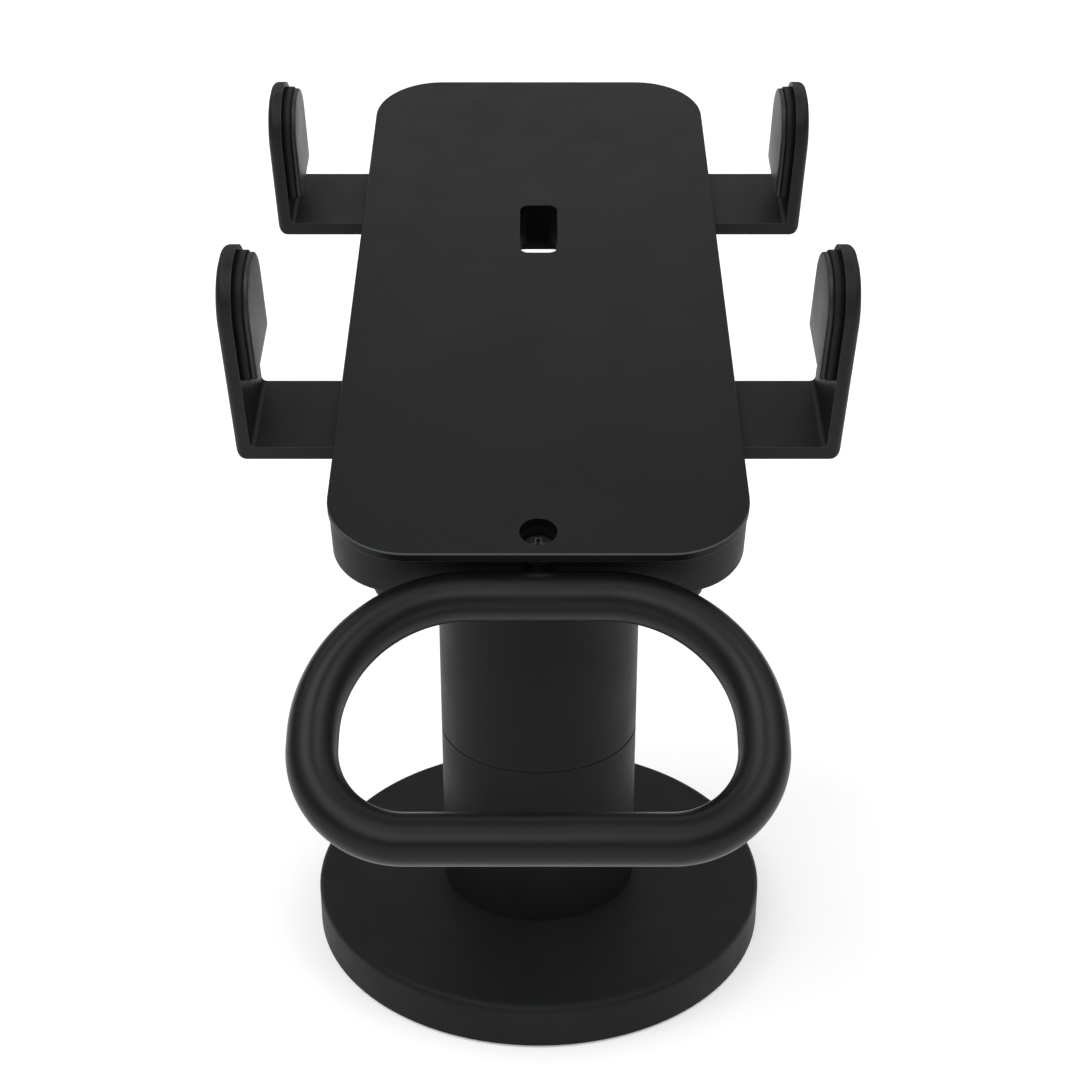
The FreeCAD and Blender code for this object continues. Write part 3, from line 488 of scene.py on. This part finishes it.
def clamp_slab(node, slot, body, edge, crown):
    """A moulded slab with rounded edges and a domed face, in a CAD slab's place."""
    (u0, v0, h0), (u1, v1, h1) = head_box(node)
    left = u0 < 0
    back_u, face_u = (u0, u1) if left else (u1, u0)
    inward = 1 if left else -1
    centre_v, half_w = (v0 + v1) / 2, (v1 - v0) / 2
    points = []
    layers = slab_layers(edge, crown, half_w)
    for inset, depth in layers:
        u = back_u if depth is None else face_u - inward * depth
        outline = slab_outline(half_w, h0, h1, inset)
        count = len(outline)
        points += [head_point(u, centre_v + v, h) for v, h in outline]
    faces = loop_faces(len(layers), count)
    faces.append(tuple(reversed(range(count))))
    faces.append(tuple(range((len(layers) - 1) * count, len(layers) * count)))
    if not left:
        faces = [tuple(reversed(face)) for face in faces]
    return new_piece(node + "_moulding", points, faces, slot, body, node)


def add_pads():
    for side in ("left", "right"):
        for place in ("front", "rear"):
            pad, body = "%s_%s_pad" % (side, place), side + "_jaw"
            rubber = clamp_slab(pad, "pad_rubber", body, PAD_EDGE_R, PAD_CROWN)
            clamp_slab(pad + "_backing", "pad_backing_plastic", body, BACKING_EDGE_R, 0.0)


# ---- studio ----
FLOOR_HALF = 6.0
FLOOR_GLOW = 0.2
SKY_STRENGTH = 1.2
BACKDROP = 0.85


def add_floor():
    mesh = bpy.data.meshes.new("floor")
    half = FLOOR_HALF
    mesh.from_pydata([(-half, -half, 0), (half, -half, 0), (half, half, 0), (-half, half, 0)],
                     [], [(0, 1, 2, 3)])
    floor = bpy.data.objects.new("floor", mesh)
    bpy.context.scene.collection.objects.link(floor)
    m = Material("floor_pale", roughness=0.8, specular=0.2)
    tone = m.mix_colour(m.ramp(m.noise(3.0, 2.0), 0.3, 0.7, 0.0, 1.0), (0.86, 0.86, 0.86), (0.9, 0.9, 0.9))
    m.shader.inputs["Emission Color"].default_value = (1.0, 1.0, 1.0, 1.0)
    m.shader.inputs["Emission Strength"].default_value = FLOOR_GLOW
    mesh.materials.append(m.finish(tone))


# sine of the height above the horizon, grey: dim at the horizon and overhead, brightest between
SKY_LOW = 0.20
SKY_HIGH = 0.3
SKY_BANDS = ((0.42, 0.24), (0.60, 0.85), (0.74, 1.1), (0.86, 0.35))


def add_world():
    world = bpy.data.worlds.new("studio")
    bpy.context.scene.world = world
    world.use_nodes = True
    tree = world.node_tree
    background = tree.nodes["Background"]
    direction = tree.nodes.new("ShaderNodeTexCoord").outputs["Generated"]
    split = tree.nodes.new("ShaderNodeSeparateXYZ")
    sky = tree.nodes.new("ShaderNodeValToRGB")
    tree.links.new(direction, split.inputs["Vector"])
    tree.links.new(split.outputs["Z"], sky.inputs["Fac"])
    backdrop = tree.nodes.new("ShaderNodeMix")
    backdrop.data_type = "RGBA"
    backdrop.inputs[7].default_value = (BACKDROP, BACKDROP, BACKDROP, 1.0)
    seen = tree.nodes.new("ShaderNodeLightPath").outputs["Is Camera Ray"]
    tree.links.new(seen, backdrop.inputs["Factor"])
    tree.links.new(sky.outputs["Color"], backdrop.inputs[6])
    tree.links.new(backdrop.outputs[2], background.inputs["Color"])
    ramp = sky.color_ramp
    ramp.elements[0].color = (SKY_LOW, SKY_LOW, SKY_LOW, 1.0)
    ramp.elements[1].color = (SKY_HIGH, SKY_HIGH, SKY_HIGH, 1.0)
    for height, grey in SKY_BANDS:
        ramp.elements.new(height).color = (grey, grey, grey, 1.0)
    background.inputs["Strength"].default_value = SKY_STRENGTH


# name, strength, degrees right of the user's side, degrees above the floor, degrees across
SOFTBOXES = (("key", 0.62, -12.0, 42.0, 36.0), ("side_left", 0.85, -64.0, 64.0, 34.0),
             ("side_right", 0.65, 64.0, 64.0, 34.0))


def add_lights():
    for name, energy, side, height, width in SOFTBOXES:
        light = bpy.data.lights.new(name, "SUN")
        light.energy = energy
        light.angle = math.radians(width)
        lamp = bpy.data.objects.new(name, light)
        lamp.rotation_euler = (math.radians(90.0 - height), 0.0, math.radians(side))
        bpy.context.scene.collection.objects.link(lamp)


SENSOR_W = 36.0
LENS = 58.9
CAMERA_PLACE = (0.00027, -0.33545, 0.25066)
CAMERA_PITCH = 25.25


def add_camera():
    camera_data = bpy.data.cameras.new("camera")
    camera_data.sensor_width = SENSOR_W
    camera_data.lens = LENS
    camera_data.clip_start = 0.01
    camera = bpy.data.objects.new("camera", camera_data)
    camera.location = CAMERA_PLACE
    camera.rotation_euler = (math.radians(90.0 - CAMERA_PITCH), 0.0, 0.0)
    bpy.context.scene.collection.objects.link(camera)
    bpy.context.scene.camera = camera


dress_cad_nodes()
ring_handle()
add_pads()
add_floor()
add_world()
add_lights()
add_camera()
bpy.context.scene.view_settings.view_transform = "Standard"
